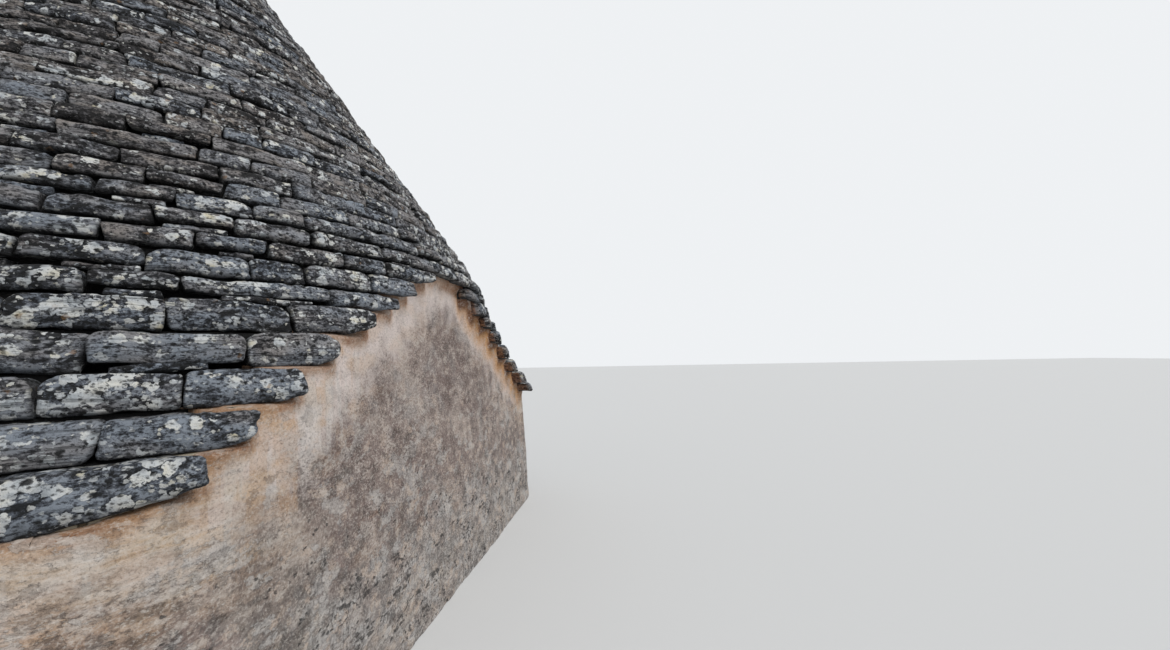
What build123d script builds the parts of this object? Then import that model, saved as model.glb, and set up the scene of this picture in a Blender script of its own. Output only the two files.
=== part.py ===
# A dry-stone trullo: four battered, plastered walls on a square plan, and a round roof of corbelled
# stone courses that runs down over the corners and is cut off along an arch on every wall.
# Millimetres, +Z up, origin on the ground at the middle of the plan. The doorway faces -Y.
from build123d import *
import math
import os

# The walls
house_side = 4920.0  # outside of the plaster, at the ground
wall_thickness = 1010.0  # at the ground, with the plaster
corner_radius = 650.0
wall_batter = 0.066  # how far the face leans in, for each unit of height
plaster_thickness = 30.0
footing_height = 60.0  # the foot of the walls, flush with the plaster that stands on it
floor_thickness = 80.0

# Roof courses that the walls cut off, so that they lie on the corners only
eaves_setback = 15.0  # from the plaster's foot in to the plane where these courses end
eaves_course_heights = [105.0, 133.0, 132.0, 147.0, 133.0, 100.0, 115.0, 95.0]
eaves_spread = 0.33  # how much the radius grows, for each unit down from the arch's top
eaves_flare_length = 2500.0  # a shorter one makes the lowest courses flare out more

# Roof courses that run all the way round
cone_foot_course_height = 100.0
cone_top_course_height = 70.0
cone_spread = 0.70  # how much the radius shrinks, for each unit up from the arch's top
cone_swell_length = 156000.0  # a shorter one makes the roof's outline rounder

# The stones of the roof
stone_length = 430.0
skin_depth = 350.0
face_lean = 0.35  # share of the step back to the next course that the leaning face takes
fewest_stones = 9

# The vault
springing_course = 5  # the eaves course whose bed the vault springs from, counted from 0
vault_rise = 2450.0
vault_curve = 1.25
vault_stone_length = 340.0
squinch_courses = 8  # courses over which the square room turns round
squinch_sides = 16
squinch_bearing = 40.0
eye_radius = 230.0
keystone_bearing = 90.0
core_sides = 24
core_tip_radius = 60.0
bands_round_vault = 4
bands_over_vault = 3

# The doorway
door_width = 800.0
door_height = 1650.0
jamb_width = 220.0
lintel_height = 205.0
lintel_bearing = 210.0
surround_depth = 450.0
threshold_height = 100.0

# The top of the roof
capstone_radius = 325.0
capstone_overhang = 45.0
capstone_height = 90.0
pinnacle_sides = 12
pinnacle_foot_radius = 130.0
pinnacle_neck_radius = 75.0
pinnacle_head_radius = 110.0
pinnacle_foot_height = 170.0
pinnacle_head_height = 190.0

half_house = house_side / 2
half_room = half_house - wall_thickness
half_eaves = half_house - eaves_setback
batter_angle = math.degrees(math.atan(wall_batter))
lintel_top = door_height + lintel_height
lintel_half = door_width / 2 + lintel_bearing
# The vault springs from the bed on top of the lintels, so the doorway sets the height of the eaves
eaves_height = lintel_top - sum(eaves_course_heights[:springing_course])


def roof_radius(z):
    """Radius of the roof's outer edge at a height."""
    down = arch_top - z
    if down > 0:
        return half_eaves + eaves_spread * down + down**2 / eaves_flare_length
    return half_eaves + cone_spread * down - down**2 / cone_swell_length


def core_radius(z):
    """Radius of the masonry behind the roof's skin: upright in the walls, then a pyramid."""
    return half_eaves - skin_depth - cone_spread * max(0.0, z - arch_top)


def vault_radius(z):
    """Half the width of the space inside the vault at a height."""
    share = min(1.0, (z - springing) / vault_rise)
    return half_room * (1 - share**vault_curve)


def stack_eaves_beds():
    """Beds of the corner courses, from the lowest one's underside to the arch's top."""
    beds = [eaves_height]
    for height in eaves_course_heights:
        beds.append(beds[-1] + height)
    return beds


def stack_cone_beds():
    """Beds of the whole courses, which get thinner as the roof narrows to its capstone."""
    beds = [arch_top]
    while roof_radius(beds[-1]) > capstone_radius - capstone_overhang:
        share = roof_radius(beds[-1]) / half_eaves
        taper = share * (cone_foot_course_height - cone_top_course_height)
        beds.append(beds[-1] + cone_top_course_height + taper)
    return beds


eaves_beds = stack_eaves_beds()
arch_top = eaves_beds[-1]
springing = eaves_beds[springing_course]
cone_beds = stack_cone_beds()
cone_top = cone_beds[-1]
core_top = arch_top + (core_radius(arch_top) - core_tip_radius) / cone_spread
open_cone_beds = [z for z in cone_beds if vault_radius(z) > eye_radius]
vault_beds = eaves_beds[springing_course:-1] + open_cone_beds
vault_close = cone_beds[len(open_cone_beds)]
keystone_height = cone_beds[len(open_cone_beds) + 1] - vault_close


def stones_round(radius, length):
    """How many stones of about that length make a ring."""
    return max(fewest_stones, round(2 * math.pi * radius / length))


def lean_between(low_radius, high_radius, height, sides):
    """The taper, in degrees, that takes a polygon from one radius to another."""
    return math.degrees(math.atan((low_radius - high_radius) * math.cos(math.pi / sides) / height))


def arch_half_width(radius):
    """Where a round course meets the cut along a wall, from the wall's middle."""
    return math.sqrt(max(0.0, radius**2 - half_eaves**2))


def tapered_drum(low_radius, high_radius, bed, height, sides, turn=0.0):
    """A many-sided drum that stands on a bed and leans in."""
    with BuildPart() as drum:
        with BuildSketch(Plane.XY.offset(bed)):
            RegularPolygon(low_radius, sides, rotation=turn)
        extrude(amount=height, taper=lean_between(low_radius, high_radius, height, sides))
    return drum.part


def roof_course(bed, height, number):
    """One roof course as a whole disc. Its straight stones break joint with the course below."""
    low = roof_radius(bed)
    high = low - face_lean * (low - roof_radius(bed + height))
    sides = stones_round(low, stone_length)
    half_stone = 180 / sides if number % 2 else 0
    return tapered_drum(low, high, bed, height, sides, half_stone)


def core_slice(low, high):
    """The masonry behind the roof's skin, between two heights."""
    return tapered_drum(core_radius(low), core_radius(high), low, high - low, core_sides)


def battered_block(inset, top):
    """The outline of the walls as one solid, moved in by inset."""
    side = house_side - 2 * inset
    with BuildPart() as block:
        with BuildSketch():
            RectangleRounded(side, side, corner_radius - inset)
        extrude(amount=top, taper=batter_angle)
    return block.part


def corner_steps(outer):
    """On each corner, a square for every corner course, from the arch's edge out to a distance."""
    with BuildPart() as steps:
        for bed, height in zip(eaves_beds, eaves_course_heights):
            inner = arch_half_width(roof_radius(bed))
            with BuildSketch(Plane.XY.offset(bed)):
                with GridLocations(inner + outer, inner + outer, 2, 2):
                    Rectangle(outer - inner, outer - inner)
            extrude(amount=height)
        add(core_slice(eaves_height, arch_top), mode=Mode.SUBTRACT)
    return steps.part


def quarter_of_plan(turn):
    """The wedge of the plan behind one wall; a turn of 0 is the +X wall."""
    with BuildPart() as quarter:
        with BuildSketch():
            with BuildLine():
                Polyline((0, 0), (house_side, -house_side), (house_side, house_side), close=True)
            make_face()
        extrude(amount=arch_top)
    return quarter.part.rotate(Axis.Z, turn)


def door_box(half_width, low, high, front, back):
    """A box across the doorway, from one depth to another, measured in from the wall's foot."""
    with BuildPart() as box:
        with BuildSketch(Plane.XY.offset(low)):
            with Locations((0, (front + back) / 2 - half_house)):
                Rectangle(2 * half_width, back - front)
        extrude(amount=high - low)
    return box.part


def vault_opening(number, bed, height):
    """The space inside one vault course: a square with its corners bridged, and then a ring."""
    half = vault_radius(bed)
    corner_reach = core_radius(springing) - squinch_bearing
    with BuildPart() as opening:
        with BuildSketch(Plane.XY.offset(bed)):
            if number < squinch_courses:
                Rectangle(2 * half, 2 * half)
                reach = corner_reach + (half - corner_reach) * number / squinch_courses
                RegularPolygon(reach, squinch_sides, mode=Mode.INTERSECT)
            else:
                RegularPolygon(half, stones_round(half, vault_stone_length))
        extrude(amount=height)
    return opening.part


def split_beds(beds, bands):
    """The beds that divide a stack of courses into bands of about as many courses each."""
    courses = len(beds) - 1
    return [beds[round(courses * i / bands)] for i in range(bands + 1)]


os.makedirs("parts", exist_ok=True)
eaves_space = corner_steps(house_side)

# The doorway cut: the passage, the recess for the jambs and the slot for the lintels
with BuildPart() as doorway:
    add(door_box(door_width / 2, 0, door_height, -plaster_thickness, wall_thickness))
    add(door_box(door_width / 2 + jamb_width, 0, door_height, -plaster_thickness, surround_depth))
    add(door_box(lintel_half, door_height, lintel_top, -plaster_thickness, wall_thickness))

# The rubble walls, on a footing flush with the plaster, with the room and the vault's seat cut out
with BuildPart() as masonry:
    add(battered_block(plaster_thickness, arch_top))
    add(battered_block(0, footing_height))
    with BuildSketch():
        Rectangle(2 * half_room, 2 * half_room)
    extrude(amount=springing, mode=Mode.SUBTRACT)
    add(core_slice(springing, arch_top), mode=Mode.SUBTRACT)
    add(eaves_space, mode=Mode.SUBTRACT)

# The lime coat on the outside of the walls
with BuildPart() as coat:
    add(battered_block(0, arch_top))
    add(battered_block(plaster_thickness, arch_top), mode=Mode.SUBTRACT)
    add(battered_block(0, footing_height), mode=Mode.SUBTRACT)
    add(eaves_space, mode=Mode.SUBTRACT)

for side, turn in (("east", 0), ("north", 90), ("west", 180)):
    with BuildPart() as wall:
        add(masonry.part)
        add(quarter_of_plan(turn), mode=Mode.INTERSECT)
    wall.part.label = f"{side}_wall"
    export_step(wall.part, f"parts/{side}_wall.step")

    with BuildPart() as plaster:
        add(coat.part)
        add(quarter_of_plan(turn), mode=Mode.INTERSECT)
    plaster.part.label = f"{side}_plaster"
    export_step(plaster.part, f"parts/{side}_plaster.step")

# The front wall, in three pieces around the doorway
with BuildPart() as south_plaster:
    add(coat.part)
    add(quarter_of_plan(270), mode=Mode.INTERSECT)
    add(doorway.part, mode=Mode.SUBTRACT)
south_plaster.part.label = "south_plaster"
export_step(south_plaster.part, "parts/south_plaster.step")

with BuildPart() as front_wall:
    add(masonry.part)
    add(quarter_of_plan(270), mode=Mode.INTERSECT)
    add(doorway.part, mode=Mode.SUBTRACT)

with BuildPart() as south_gable:
    add(front_wall.part)
    add(door_box(half_house, lintel_top, arch_top, 0, house_side), mode=Mode.INTERSECT)
south_gable.part.label = "south_gable"
export_step(south_gable.part, "parts/south_gable.step")

for side, sign in (("left", -1), ("right", 1)):
    with BuildPart() as wall:
        add(front_wall.part)
        with BuildSketch():
            with Locations((sign * half_house / 2, -half_house / 2)):
                Rectangle(half_house, half_house)
        extrude(amount=lintel_top, mode=Mode.INTERSECT)
    wall.part.label = f"south_wall_{side}"
    export_step(wall.part, f"parts/south_wall_{side}.step")

    with BuildPart() as jamb:
        with BuildSketch():
            with Locations((sign * (door_width + jamb_width) / 2, surround_depth / 2 - half_house)):
                Rectangle(jamb_width, surround_depth)
        extrude(amount=door_height)
        add(battered_block(0, arch_top), mode=Mode.INTERSECT)
    jamb.part.label = f"door_jamb_{side}"
    export_step(jamb.part, f"parts/door_jamb_{side}.step")

with BuildPart() as door_lintel:
    add(door_box(lintel_half, door_height, lintel_top, 0, surround_depth))
    add(battered_block(0, arch_top), mode=Mode.INTERSECT)
door_lintel.part.label = "door_lintel"
export_step(door_lintel.part, "parts/door_lintel.step")

with BuildPart() as inner_lintel:
    add(door_box(lintel_half, door_height, lintel_top, surround_depth, wall_thickness))
inner_lintel.part.label = "inner_lintel"
export_step(inner_lintel.part, "parts/inner_lintel.step")

with BuildPart() as threshold:
    add(door_box(door_width / 2, 0, threshold_height, 0, wall_thickness))
    add(battered_block(0, arch_top), mode=Mode.INTERSECT)
threshold.part.label = "threshold"
export_step(threshold.part, "parts/threshold.step")

with BuildPart() as stone_floor:
    with BuildSketch():
        Rectangle(2 * half_room, 2 * half_room)
    extrude(amount=floor_thickness)
stone_floor.part.label = "stone_floor"
export_step(stone_floor.part, "parts/stone_floor.step")

# The corner courses, each a little further in and wider than the one below. Their round faces meet
# the arch on both walls, so the arch's edge climbs in steps from corner to corner.
with BuildPart() as corner_courses:
    for number, (bed, height) in enumerate(zip(eaves_beds, eaves_course_heights)):
        add(roof_course(bed, height, number))
    add(corner_steps(half_eaves), mode=Mode.INTERSECT)
corners = corner_courses.part.solids()
for name, x_sign, y_sign in (
    ("north_east", 1, 1),
    ("north_west", -1, 1),
    ("south_west", -1, -1),
    ("south_east", 1, -1),
):
    with BuildPart() as eaves:
        add([s for s in corners if s.center().X * x_sign > 0 and s.center().Y * y_sign > 0])
    eaves.part.label = f"{name}_eaves"
    export_step(eaves.part, f"parts/{name}_eaves.step")

# The round roof's skin, stepped outside and sloping behind, in bands that break where the vault's do
beds_round_vault = split_beds(cone_beds[: len(open_cone_beds) + 1], bands_round_vault)
beds_over_vault = split_beds(cone_beds[len(open_cone_beds):], bands_over_vault)
skin_beds = beds_round_vault[:-1] + beds_over_vault
for band, (low, high) in enumerate(zip(skin_beds, skin_beds[1:]), start=1):
    with BuildPart() as skin:
        for number, (bed, top) in enumerate(zip(cone_beds, cone_beds[1:])):
            if low <= bed < high:
                add(roof_course(bed, top - bed, number))
        if low < core_top:
            add(core_slice(low, min(high, core_top)), mode=Mode.SUBTRACT)
    skin.part.label = f"cone_courses_{band}"
    export_step(skin.part, f"parts/cone_courses_{band}.step")

# The corbelled vault: one band inside the walls, and the others inside the cone
ring_beds = [springing] + beds_round_vault
vault_tops = vault_beds[1:] + [vault_close]
for band, (low, high) in enumerate(zip(ring_beds, ring_beds[1:]), start=1):
    with BuildPart() as ring:
        add(core_slice(low, high))
        for number, (bed, top) in enumerate(zip(vault_beds, vault_tops)):
            if low <= bed < high:
                add(vault_opening(number, bed, top - bed), mode=Mode.SUBTRACT)
    ring.part.label = f"vault_courses_{band}"
    export_step(ring.part, f"parts/vault_courses_{band}.step")

with BuildPart() as keystone:
    with BuildSketch(Plane.XY.offset(vault_close)):
        RegularPolygon(eye_radius + keystone_bearing, fewest_stones)
    extrude(amount=keystone_height)
keystone.part.label = "keystone"
export_step(keystone.part, "parts/keystone.step")

with BuildPart() as vault_crown:
    add(core_slice(vault_close, core_top))
    add(keystone.part, mode=Mode.SUBTRACT)
vault_crown.part.label = "vault_crown"
export_step(vault_crown.part, "parts/vault_crown.step")

# The flat slab on the roof's top and the plain hewn stone on it
with BuildPart() as capstone:
    with BuildSketch(Plane.XY.offset(cone_top)):
        RegularPolygon(capstone_radius, fewest_stones)
    extrude(amount=capstone_height)
capstone.part.label = "capstone"
export_step(capstone.part, "parts/capstone.step")

neck = cone_top + capstone_height + pinnacle_foot_height
third = pinnacle_head_height / 3
with BuildPart() as pinnacle:
    add(tapered_drum(pinnacle_foot_radius, pinnacle_neck_radius, neck - pinnacle_foot_height,
                     pinnacle_foot_height, pinnacle_sides))
    add(tapered_drum(pinnacle_neck_radius, pinnacle_head_radius, neck, third, pinnacle_sides))
    add(tapered_drum(pinnacle_head_radius, pinnacle_head_radius, neck + third, third, pinnacle_sides))
    add(tapered_drum(pinnacle_head_radius, pinnacle_neck_radius, neck + 2 * third, third, pinnacle_sides))
pinnacle.part.label = "pinnacle"
export_step(pinnacle.part, "parts/pinnacle.step")
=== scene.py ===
"""A dry-stone trullo: the roof's separate weathered stones, the old lime plaster and the dressed
doorway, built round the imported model. Metres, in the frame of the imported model."""

import math

import bpy
import numpy as np
from mathutils import Matrix, Vector


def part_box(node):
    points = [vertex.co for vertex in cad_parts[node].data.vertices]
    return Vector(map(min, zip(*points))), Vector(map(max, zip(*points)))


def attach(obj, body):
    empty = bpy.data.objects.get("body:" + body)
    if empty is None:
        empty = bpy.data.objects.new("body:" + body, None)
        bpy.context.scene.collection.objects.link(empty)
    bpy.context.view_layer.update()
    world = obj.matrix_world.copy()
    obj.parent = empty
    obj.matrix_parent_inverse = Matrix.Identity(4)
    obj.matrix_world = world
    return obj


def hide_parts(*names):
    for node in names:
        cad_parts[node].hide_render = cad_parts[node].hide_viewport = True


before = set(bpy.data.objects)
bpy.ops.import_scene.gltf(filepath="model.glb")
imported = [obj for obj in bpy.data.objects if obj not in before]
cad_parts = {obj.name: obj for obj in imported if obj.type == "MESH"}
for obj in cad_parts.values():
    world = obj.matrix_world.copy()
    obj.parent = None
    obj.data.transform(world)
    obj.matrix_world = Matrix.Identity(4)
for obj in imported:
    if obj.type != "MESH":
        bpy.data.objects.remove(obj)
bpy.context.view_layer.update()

# The camera stands by the south-east corner and looks north along the east wall
EYE = Vector((3.7725, -3.2044, 1.6))
YAW, PITCH, ROLL = 0.1208, 0.0683, -0.0205
LENS_MM = 13.69
SENSOR_MM = 36.0

# The walls
HALF_HOUSE = 2.46
CORNER_RADIUS = 0.65
BATTER = 0.066
ROOM_HALF = 1.45
DOOR_HALF = 0.40
DOOR_HEIGHT = 1.65
DOOR_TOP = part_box("door_lintel")[1].z
JAMB_WIDTH = 0.22
LINTEL_HALF = 0.61
SURROUND_DEPTH = 0.45
BLOCK_WEAR = 0.45  # how rough the hewn blocks are, where the roof's stones are 1
COAT_THICKNESS, COAT_PROUD, FLAKE_DEPTH = 0.034, 0.010, 0.006
TUCKED_UNDER = 0.055  # how far the plaster runs on behind the stones
FINE_SPACING, PLAIN_SPACING = (0.014, 0.034), (0.040, 0.040)  # of the plaster's mesh, from south to north

# The roof: beds, and the radius of the stones' outer edge
HALF_EAVES = 2.445
EAVES_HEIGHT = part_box("south_east_eaves")[0].z
EAVES_COURSES = [0.105, 0.133, 0.132, 0.147, 0.133, 0.100, 0.115, 0.095]
CORNER_COURSES = len(EAVES_COURSES)
ARCH_TOP = EAVES_HEIGHT + sum(EAVES_COURSES)
CONE_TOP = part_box("capstone")[0].z
FOOT_COURSE, TOP_COURSE = 0.100, 0.070
CONE_BANDS, COURSES_IN_BAND = 7, 5
FACE_LEAN = 0.35
EAVES_SLOPE, EAVES_BEND = 0.33, 2.5  # how the outline goes on down from the arch's top
CONE_SLOPE, CONE_BEND = 0.70, -156.0  # and up from it

# Head joints seen on the near corner, by course: degrees round from the east, negative to the south
SEEN_JOINTS = {
    0: (-47.6,), 1: (-50.5, -43.4), 2: (-53.2, -46.5, -39.8), 3: (-53.5, -44.9, -36.0),
    4: (-49.5, -41.0, -32.1), 5: (-45.9, -40.1, -27.8), 6: (-50.0, -42.5, -35.0, -29.9, -22.3),
    7: (-51.8, -45.6, -39.2, -33.2), 8: (-49.4, -42.4, -35.9), 9: (-46.6, -40.8, -34.1),
}
SEEN_PALENESS = (0.54, 0.92, 0.66, 0.86, 0.50)  # how pale the lowest courses' stones mostly are
PALE_COURSES, PALE, LESS_PALE = 15, 0.62, 0.50  # up to which course the others are paler, and how pale
LOW_STONE, HIGH_STONE = 0.42, 0.32  # usual lengths, on the lowest course and at the arch's top
SHORTER_BY_COURSE = 0.0015  # above the arch's top
WEDGED_SHARE = 0.10  # of the stones that lie on a thin one
STONE_DEPTH, WEDGE_DEPTH = 0.30, 0.12
HEAD_JOINT = 0.006
LOW_BED_JOINT, HIGH_BED_JOINT = 0.005, 0.016
LOWEST_STONES_SAG = 0.050  # how much lower the lowest stones hang at the house's corner
NORTH_REACH = 0.22  # how much farther the courses reach round at the photographed arch's north side
NORTH_SET_IN = 0.035  # how far the last stones there lie in from the roof's circle
FILLING_SET_BACK, FILLING_DEPTH = 0.09, 0.12  # the earth and small stones behind a course's stones
FINE_CELL, CELL_GROWTH, FINE_REACH = 0.0058, 0.0032, 1.6  # of a stone's mesh, and how far from the camera
CLOSE = 3.2  # stones nearer to the camera than this have more layers from front to back
JOINT_LIGHT, UNDERSIDE_SHADE = 0.030, 0.42  # how deep light reaches into a joint, and the shade low on a face

UP = np.array([0, 0, 1.0])
NOTHING = (0.0, 0.0, 0.0)


def srgb(red, green, blue):
    """A colour as it is read off a screen, from 0 to 255, as the linear one that a shader takes."""
    share = np.array([red, green, blue]) / 255
    linear = np.where(share <= 0.04045, share / 12.92, ((share + 0.055) / 1.055) ** 2.4)
    return (*linear.tolist(), 1.0)


def smooth(value, low, high):
    """0 up to low, 1 from high, and a soft step between them."""
    share = np.clip((value - low) / (high - low), 0, 1)
    return share * share * (3 - 2 * share)


# Noise

NOISE_ORDER = np.random.default_rng(7).permutation(256)
NOISE_VALUE = np.random.default_rng(8).uniform(-1, 1, 256)


def lattice_noise(points, seed):
    """Smooth noise from -1 to 1 whose lumps are about one unit wide."""
    cell = np.floor(points).astype(int)
    share = points - cell
    share = share * share * (3 - 2 * share)
    total = np.zeros(len(points))
    for corner in np.ndindex(2, 2, 2):
        pick = seed
        for axis in (cell + corner).T:
            pick = NOISE_ORDER[(pick + axis) & 255]
        weight = np.prod(np.where(corner, share, 1 - share), axis=1)
        total += NOISE_VALUE[pick] * weight
    return total


def rough_noise(points, size, octaves, seed):
    """Noise of several sizes on top of each other, the largest one size wide."""
    total, height = np.zeros(len(points)), 1.0
    for octave in range(octaves):
        total += height * lattice_noise(points * 2.03**octave / size, seed + 17 * octave)
        height *= 0.5
    return total


# Meshes

def link_object(name, data):
    """A new object in the scene."""
    made = bpy.data.objects.new(name, data)
    bpy.context.scene.collection.objects.link(made)
    return made


def add_piece(name, points, faces, material, slot, replaced, **kept):
    """A mesh object that rides on the house and stands for CAD nodes. What the material reads is kept
    with it under its own name, as three or four numbers for each vertex."""
    mesh = bpy.data.meshes.new(name)
    mesh.from_pydata(points.tolist(), [], faces)
    mesh.polygons.foreach_set("use_smooth", [True] * len(mesh.polygons))
    mesh.materials.append(material)
    for key, values in kept.items():
        kind, field = {3: ("FLOAT_VECTOR", "vector"), 4: ("FLOAT_COLOR", "color")}[values.shape[1]]
        layer = mesh.attributes.new(key, kind, "POINT")
        layer.data.foreach_set(field, values.astype(np.float32).ravel())
    piece = link_object(name, mesh)
    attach(piece, "root")
    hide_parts(*replaced)
    return piece


def spread_lines(cells):
    """Grid lines from -1 to 1 that lie closer together near both ends."""
    even = np.linspace(-1, 1, cells + 1)
    return 0.45 * even + 0.55 * even * (1.5 - 0.5 * even**2)


def grid_quads(ids):
    """The faces between the vertices of a grid."""
    return np.stack([ids[:-1, :-1], ids[:-1, 1:], ids[1:, 1:], ids[1:, :-1]], -1)


def block_grid(long_cells, high_cells, layers):
    """A closed block: a front grid, rings round its four sides and a back.
    Gives each vertex's place on the front from -1 to 1, its layer, and the faces."""
    across, up = np.meshgrid(spread_lines(long_cells), spread_lines(high_cells))
    ids = np.arange(across.size).reshape(across.shape)
    quads = [grid_quads(ids).reshape(-1, 4)]
    rim = np.concatenate([ids[0, :-1], ids[:-1, -1], ids[-1, :0:-1], ids[:0:-1, 0]])
    rings = [rim] + [across.size + layer * len(rim) + np.arange(len(rim)) for layer in range(layers)]
    for outer, inner in zip(rings, rings[1:]):
        quads.append(np.stack([outer, inner, np.roll(inner, -1), np.roll(outer, -1)], -1))
    layer_of = np.repeat(np.arange(layers + 1), [across.size] + [len(rim)] * layers)
    across, up = (np.concatenate([way.ravel()] + [way.ravel()[rim]] * layers) for way in (across, up))
    return across, up, layer_of, np.concatenate(quads), rings[-1][::-1]


def round_corners(across, up, half_length, half_height, corner):
    """Moves points of a square, from -1 to 1, onto a rectangle with rounded corners."""
    ring = np.maximum(np.abs(across), np.abs(up))
    safe = np.where(ring > 0, ring, 1)
    x, y = across / safe * half_length, up / safe * half_height
    core_x = np.clip(x, corner - half_length, half_length - corner)
    core_y = np.clip(y, corner - half_height, half_height - corner)
    away = np.hypot(x - core_x, y - core_y)
    away = np.where(away > 0, away, 1)
    return ring * (core_x + (x - core_x) / away * corner), ring * (core_y + (y - core_y) / away * corner)


def rounded_edge(across, up, half_length, half_height, round_over):
    """How far a front has turned, up to 1 at its edge, and how far it is set back by that."""
    edge = np.minimum((1 - np.abs(across)) * half_length, (1 - np.abs(up)) * half_height)
    turned = 1 - np.clip(edge / round_over, 0, 1)
    return turned, round_over * (1 - np.sqrt(1 - np.minimum(turned, 0.999) ** 2))


def way_sideways(across, up, along, tie=1.0):
    """The way that a block's ends and beds face, for each vertex."""
    end = np.where(np.abs(across) > np.abs(up) * tie, np.sign(across), 0)
    bed = np.where(np.abs(up) >= np.abs(across), np.sign(up), 0)
    return np.outer(end, along) + np.outer(bed, UP)


class StonePile:
    """Gathers the stones of one piece and turns them into one mesh."""

    def __init__(self, seed):
        self.random = np.random.default_rng(seed)
        self.parts = {key: [] for key in ("base", "along", "out", "side", "place", "front", "look")}
        self.faces = []
        self.count = 0

    def add(self, faces, back, **arrays):
        """One stone's faces and its arrays, with a row for each vertex or one row for all."""
        count = len(arrays["base"])
        self.faces += (faces + self.count).tolist()
        self.faces.append((back + self.count).tolist())
        for key, rows in arrays.items():
            self.parts[key].append(np.broadcast_to(rows, (count, np.shape(rows)[-1])))
        self.count += count

    def points(self, relief=1.0):
        """Where the vertices lie once the stones' rough surfaces are carved."""
        part = {key: np.concatenate(rows) for key, rows in self.parts.items()}
        place, front = part["place"], part["front"]
        bent = place + 0.02 * np.stack([lattice_noise(place / 0.12, 3), lattice_noise(place / 0.12, 4),
                                        0 * front[:, 0]], -1)
        broad = rough_noise(place, 0.12, 2, 11)
        fine = rough_noise(bent, 0.040, 3, 23)
        layers = rough_noise(bent / (0.16, 0.016, 0.16), 1.0, 2, 31)
        chips = smooth(rough_noise(place, 0.06, 2, 41), 0.45, 0.95)
        height = (0.0070 * broad + 0.0050 * fine + 0.0027 * layers - 0.013 * chips)[:, None]
        sway = 0.0055 * lattice_noise(place / 0.07, 51)
        lift = 0.0055 * rough_noise(place / (0.10, 1, 1), 1.0, 2, 61)
        carved = front * height * part["out"] + (1 - front) * (0.8 * height) * part["side"]
        shifted = sway[:, None] * part["along"] + lift[:, None] * UP
        moved = part["base"] + relief * (carved + shifted)
        moved[:, 2] = np.maximum(moved[:, 2], 0.0)
        return moved

    def piece(self, points, name, material, slot, replaced):
        """The mesh object."""
        place, look = (np.concatenate(self.parts[key]) for key in ("place", "look"))
        add_piece(name, points, self.faces, material, slot, replaced, stone_place=place, stone_look=look)


def corner_sag(angle):
    """1 at the house's corners and 0 away from them, by the angle round from the east."""
    from_corner = np.abs(np.mod(angle, math.pi / 2) - math.pi / 4)
    return smooth(from_corner, math.radians(7.5), 0)


def unit(angle):
    """The level direction at an angle round from the east."""
    return np.array([math.cos(angle), math.sin(angle), 0.0])


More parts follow.
